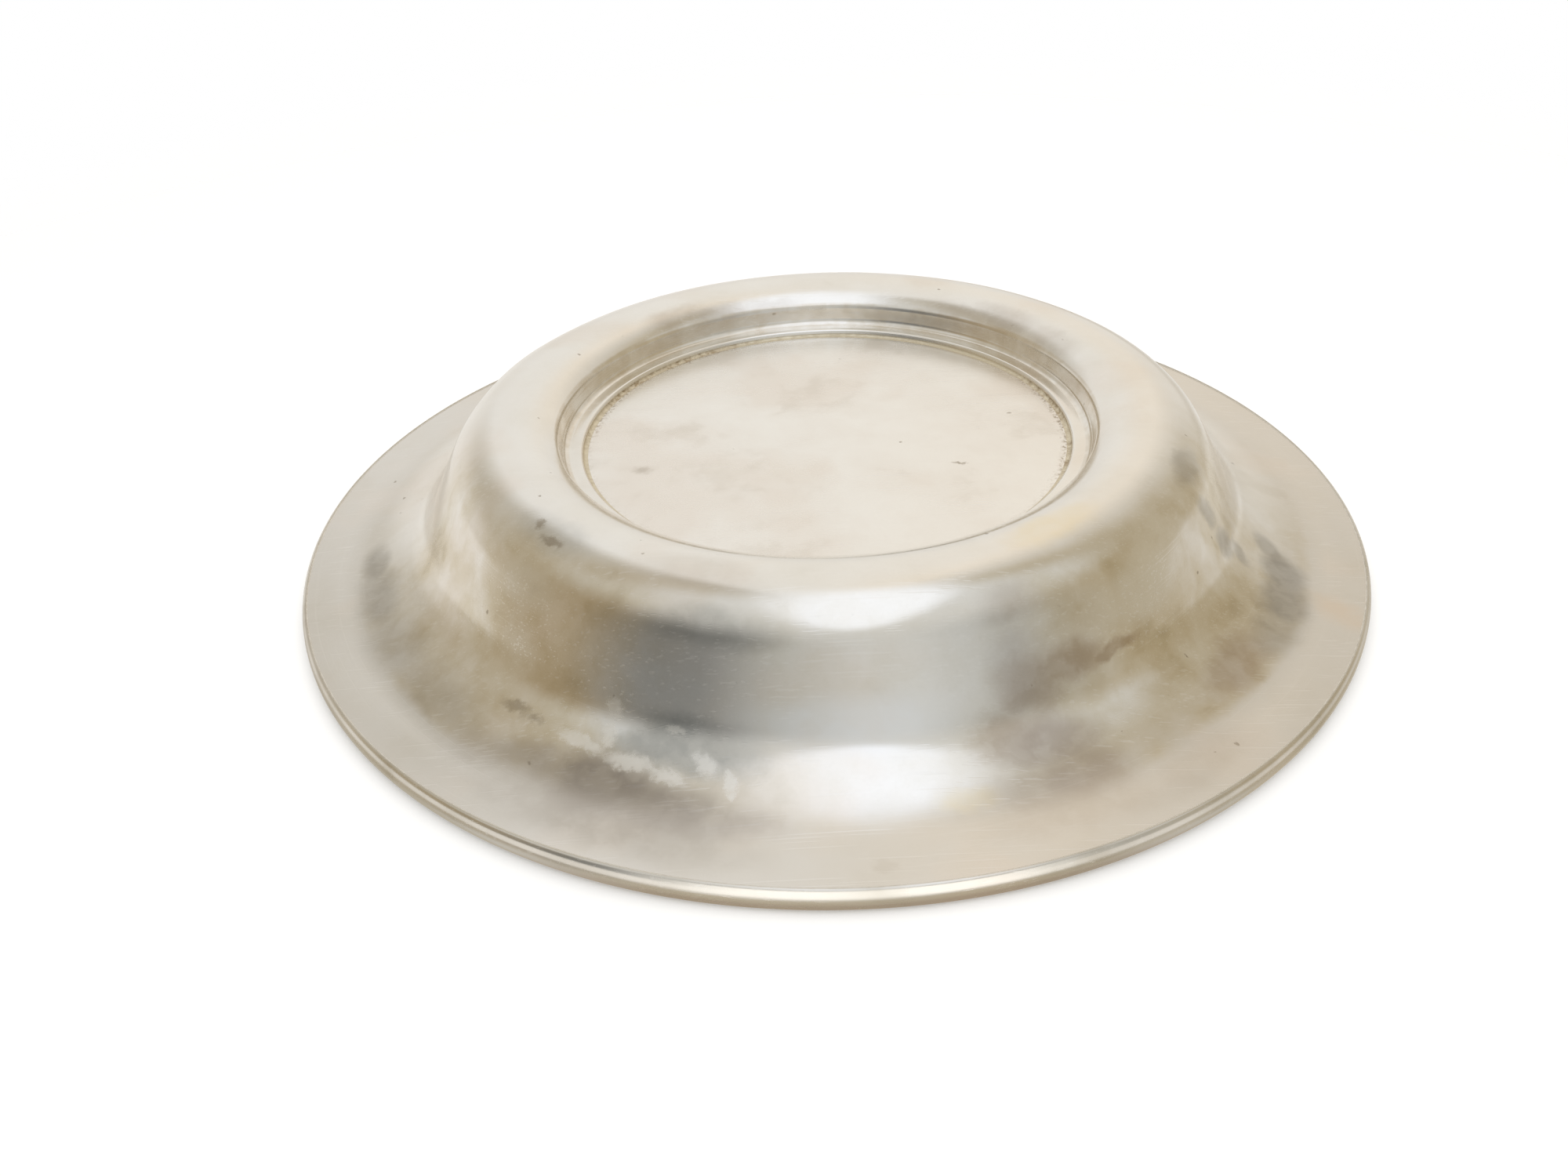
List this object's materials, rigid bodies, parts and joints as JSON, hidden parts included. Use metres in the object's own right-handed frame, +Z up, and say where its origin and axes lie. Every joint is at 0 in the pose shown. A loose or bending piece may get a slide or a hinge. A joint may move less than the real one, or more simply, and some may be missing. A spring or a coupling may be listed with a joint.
{
  "type": "silver bowl",
  "caption": "Shallow round silver bowl with a wide flared brim edged in upright half-oval wire, on a broad rounded foot ring with a stepped recess under a flat soldered base plate.",
  "frame": {"origin": "on the axis of the bowl, in the plane that the foot ring stands on", "axes": "+Z up along the axis of the bowl, towards its opening; the part is turned about Z, so X and Y are free"},
  "size_m": [0.16, 0.16, 0.0227],
  "materials": {
    "body_silver": "worn polished silver with haze, hairlines and light tarnish",
    "plate_silver": "worn silver with fine scratches",
    "wire_silver": "rubbed silver",
    "base_solder": "brown crusted solder and polish residue",
    "rim_solder": "dull grey-brown solder line"
  },
  "bodies": {
    "root": {"bowl_body": "body_silver", "base_plate": "plate_silver", "rim_wire": "wire_silver", "base_solder_seam": "base_solder", "rim_solder_seam": "rim_solder"}
  },
  "joints": []
}
